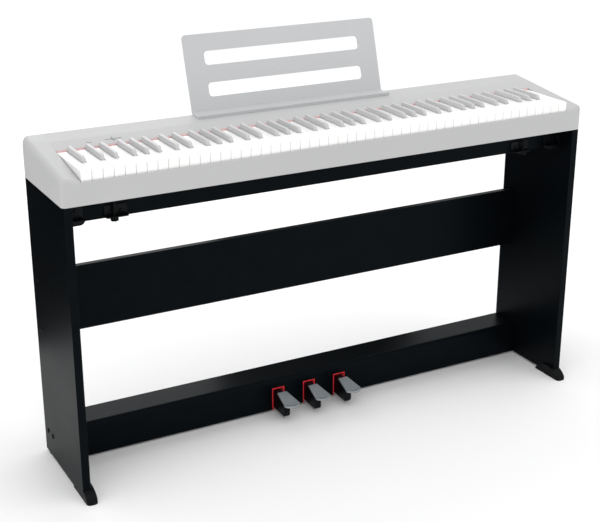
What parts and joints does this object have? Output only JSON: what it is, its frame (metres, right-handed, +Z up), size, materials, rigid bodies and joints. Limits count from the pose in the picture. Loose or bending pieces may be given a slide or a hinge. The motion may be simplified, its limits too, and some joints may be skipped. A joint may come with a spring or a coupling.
{
  "type": "digital piano on stand",
  "caption": "Slim digital piano with a slotted lift-off music rest, screwed to a dark board stand with sprung foot pedals in a low box.",
  "frame": {"origin": "on the floor, at the middle of the whole object's footprint box", "axes": "+X to the player's right along the keyboard, +Y to the back, +Z up"},
  "size_m": [1.31, 0.3312, 0.9247],
  "materials": {
    "black_laminate": "satin",
    "grey_case": "satin",
    "grey_rest": "satin",
    "white_key": "gloss",
    "grey_sharp": "satin",
    "key_felt": "felt",
    "pedal_felt": "felt",
    "pedal_silver": "fine texture",
    "black_paint": "satin",
    "zinc_steel": "zinc",
    "black_plastic": "satin",
    "dark_chassis": "matt",
    "grey_rubber": "matt",
    "speaker_black": "matt",
    "circuit_board": "solder mask"
  },
  "bodies": {
    "stand_and_case": {"bottom_case": "grey_case", "rear_cover": "grey_case", "top_panel": "grey_case", "right_cheek": "grey_case", "left_cheek": "grey_case", "key_slip": "grey_case", "key_felt": "key_felt", "keybed": "dark_chassis", "key_pivot_rod": "zinc_steel", "key_contact_strip": "grey_rubber", "speakers": "speaker_black", "main_board": "circuit_board", "rear_jacks": "black_plastic", "right_side_panel": "black_laminate", "left_side_panel": "black_laminate", "back_board": "black_laminate", "upper_rail": "black_laminate", "pedal_box_top": "black_laminate", "pedal_box_front": "black_laminate", "pedal_box_back": "black_laminate", "pedal_box_socket": "black_plastic", "pedal_felts": "pedal_felt", "stand_feet": "black_plastic", "panel_bolts": "black_plastic", "corner_brackets": "black_paint", "fixing_brackets": "black_paint", "bracket_screws": "black_paint", "soft_pedal_spring": "zinc_steel", "sostenuto_pedal_spring": "zinc_steel", "damper_pedal_spring": "zinc_steel", "pedal_frame": "zinc_steel", "pedal_axle": "zinc_steel", "pedal_sensor_board": "circuit_board"},
    "key_c": {"key_c": "white_key"},
    "key_c_sharp": {"key_c_sharp": "grey_sharp"},
    "key_d": {"key_d": "white_key"},
    "key_d_sharp": {"key_d_sharp": "grey_sharp"},
    "key_e": {"key_e": "white_key"},
    "key_f": {"key_f": "white_key"},
    "key_f_sharp": {"key_f_sharp": "grey_sharp"},
    "key_g": {"key_g": "white_key"},
    "key_g_sharp": {"key_g_sharp": "grey_sharp"},
    "key_a": {"key_a": "white_key"},
    "key_a_sharp": {"key_a_sharp": "grey_sharp"},
    "key_b": {"key_b": "white_key"},
    "low_white_keys": {"low_white_keys": "white_key"},
    "low_black_keys": {"low_black_keys": "grey_sharp"},
    "high_white_keys": {"high_white_keys": "white_key"},
    "high_black_keys": {"high_black_keys": "grey_sharp"},
    "soft_pedal": {"soft_pedal_lever": "black_paint", "soft_pedal_plate": "pedal_silver"},
    "sostenuto_pedal": {"sostenuto_pedal_lever": "black_paint", "sostenuto_pedal_plate": "pedal_silver"},
    "damper_pedal": {"damper_pedal_lever": "black_paint", "damper_pedal_plate": "pedal_silver"},
    "music_rest": {"music_rest": "grey_rest"},
    "power_button": {"power_button": "grey_case"},
    "volume_slider": {"volume_slider": "grey_case"},
    "left_fixing_knob": {"left_fixing_knob": "black_plastic"},
    "right_fixing_knob": {"right_fixing_knob": "black_plastic"}
  },
  "joints": [
    {"name": "key_c_press", "type": "hinge", "parent": "stand_and_case", "child": "key_c", "pos_m": [0, 0.07552, 0.7225], "axis": [1, 0, 0], "range_deg": [0, 2.7], "stiffness_Nm_per_rad": 1.1, "springref_deg": -8.59},
    {"name": "key_c_sharp_press", "type": "hinge", "parent": "stand_and_case", "child": "key_c_sharp", "pos_m": [0, 0.07552, 0.7225], "axis": [1, 0, 0], "range_deg": [0, 2.7], "stiffness_Nm_per_rad": 1.1, "springref_deg": -8.59},
    {"name": "key_d_press", "type": "hinge", "parent": "stand_and_case", "child": "key_d", "pos_m": [0, 0.07552, 0.7225], "axis": [1, 0, 0], "range_deg": [0, 2.7], "stiffness_Nm_per_rad": 1.1, "springref_deg": -8.59},
    {"name": "key_d_sharp_press", "type": "hinge", "parent": "stand_and_case", "child": "key_d_sharp", "pos_m": [0, 0.07552, 0.7225], "axis": [1, 0, 0], "range_deg": [0, 2.7], "stiffness_Nm_per_rad": 1.1, "springref_deg": -8.59},
    {"name": "key_e_press", "type": "hinge", "parent": "stand_and_case", "child": "key_e", "pos_m": [0, 0.07552, 0.7225], "axis": [1, 0, 0], "range_deg": [0, 2.7], "stiffness_Nm_per_rad": 1.1, "springref_deg": -8.59},
    {"name": "key_f_press", "type": "hinge", "parent": "stand_and_case", "child": "key_f", "pos_m": [0, 0.07552, 0.7225], "axis": [1, 0, 0], "range_deg": [0, 2.7], "stiffness_Nm_per_rad": 1.1, "springref_deg": -8.59},
    {"name": "key_f_sharp_press", "type": "hinge", "parent": "stand_and_case", "child": "key_f_sharp", "pos_m": [0, 0.07552, 0.7225], "axis": [1, 0, 0], "range_deg": [0, 2.7], "stiffness_Nm_per_rad": 1.1, "springref_deg": -8.59},
    {"name": "key_g_press", "type": "hinge", "parent": "stand_and_case", "child": "key_g", "pos_m": [0, 0.07552, 0.7225], "axis": [1, 0, 0], "range_deg": [0, 2.7], "stiffness_Nm_per_rad": 1.1, "springref_deg": -8.59},
    {"name": "key_g_sharp_press", "type": "hinge", "parent": "stand_and_case", "child": "key_g_sharp", "pos_m": [0, 0.07552, 0.7225], "axis": [1, 0, 0], "range_deg": [0, 2.7], "stiffness_Nm_per_rad": 1.1, "springref_deg": -8.59},
    {"name": "key_a_press", "type": "hinge", "parent": "stand_and_case", "child": "key_a", "pos_m": [0, 0.07552, 0.7225], "axis": [1, 0, 0], "range_deg": [0, 2.7], "stiffness_Nm_per_rad": 1.1, "springref_deg": -8.59},
    {"name": "key_a_sharp_press", "type": "hinge", "parent": "stand_and_case", "child": "key_a_sharp", "pos_m": [0, 0.07552, 0.7225], "axis": [1, 0, 0], "range_deg": [0, 2.7], "stiffness_Nm_per_rad": 1.1, "springref_deg": -8.59},
    {"name": "key_b_press", "type": "hinge", "parent": "stand_and_case", "child": "key_b", "pos_m": [0, 0.07552, 0.7225], "axis": [1, 0, 0], "range_deg": [0, 2.7], "stiffness_Nm_per_rad": 1.1, "springref_deg": -8.59},
    {"name": "low_white_keys_press", "type": "hinge", "parent": "stand_and_case", "child": "low_white_keys", "pos_m": [0, 0.07552, 0.7225], "axis": [1, 0, 0], "range_deg": [0, 2.7], "stiffness_Nm_per_rad": 25.3, "springref_deg": -8.59},
    {"name": "low_black_keys_press", "type": "hinge", "parent": "stand_and_case", "child": "low_black_keys", "pos_m": [0, 0.07552, 0.7225], "axis": [1, 0, 0], "range_deg": [0, 2.7], "stiffness_Nm_per_rad": 17.6, "springref_deg": -8.59},
    {"name": "high_white_keys_press", "type": "hinge", "parent": "stand_and_case", "child": "high_white_keys", "pos_m": [0, 0.07552, 0.7225], "axis": [1, 0, 0], "range_deg": [0, 2.7], "stiffness_Nm_per_rad": 24.2, "springref_deg": -8.59},
    {"name": "high_black_keys_press", "type": "hinge", "parent": "stand_and_case", "child": "high_black_keys", "pos_m": [0, 0.07552, 0.7225], "axis": [1, 0, 0], "range_deg": [0, 2.7], "stiffness_Nm_per_rad": 16.5, "springref_deg": -8.59},
    {"name": "soft_pedal_press", "type": "hinge", "parent": "stand_and_case", "child": "soft_pedal", "pos_m": [-0.086, 0.08892, 0.05], "axis": [1, 0, 0], "range_deg": [0, 3.5], "stiffness_Nm_per_rad": 20, "springref_deg": -4.58, "deforming": ["soft_pedal_spring"]},
    {"name": "sostenuto_pedal_press", "type": "hinge", "parent": "stand_and_case", "child": "sostenuto_pedal", "pos_m": [0, 0.08892, 0.05], "axis": [1, 0, 0], "range_deg": [0, 3.5], "stiffness_Nm_per_rad": 20, "springref_deg": -4.58, "deforming": ["sostenuto_pedal_spring"]},
    {"name": "damper_pedal_press", "type": "hinge", "parent": "stand_and_case", "child": "damper_pedal", "pos_m": [0.086, 0.08892, 0.05], "axis": [1, 0, 0], "range_deg": [0, 3.5], "stiffness_Nm_per_rad": 20, "springref_deg": -4.58, "deforming": ["damper_pedal_spring"]},
    {"name": "power_button_press", "type": "slide", "parent": "stand_and_case", "child": "power_button", "axis": [0, 0.2168, -0.9762], "range_m": [0, 0.0012], "stiffness_N_per_m": 400, "springref_m": -0.0015},
    {"name": "volume_slide", "type": "slide", "parent": "stand_and_case", "child": "volume_slider", "axis": [1, 0, 0], "range_m": [-0.015, 0.015]},
    {"name": "music_rest_lift", "type": "slide", "parent": "stand_and_case", "child": "music_rest", "axis": [0, 0, 1], "range_m": [0, 0.03]},
    {"name": "left_fixing_knob_turn", "type": "hinge", "parent": "stand_and_case", "child": "left_fixing_knob", "pos_m": [-0.5277, -0.08533, 0.6455], "axis": [0, 0, 1], "continuous": true},
    {"name": "right_fixing_knob_turn", "type": "hinge", "parent": "stand_and_case", "child": "right_fixing_knob", "pos_m": [0.5277, -0.08533, 0.6455], "axis": [0, 0, 1], "continuous": true}
  ]
}
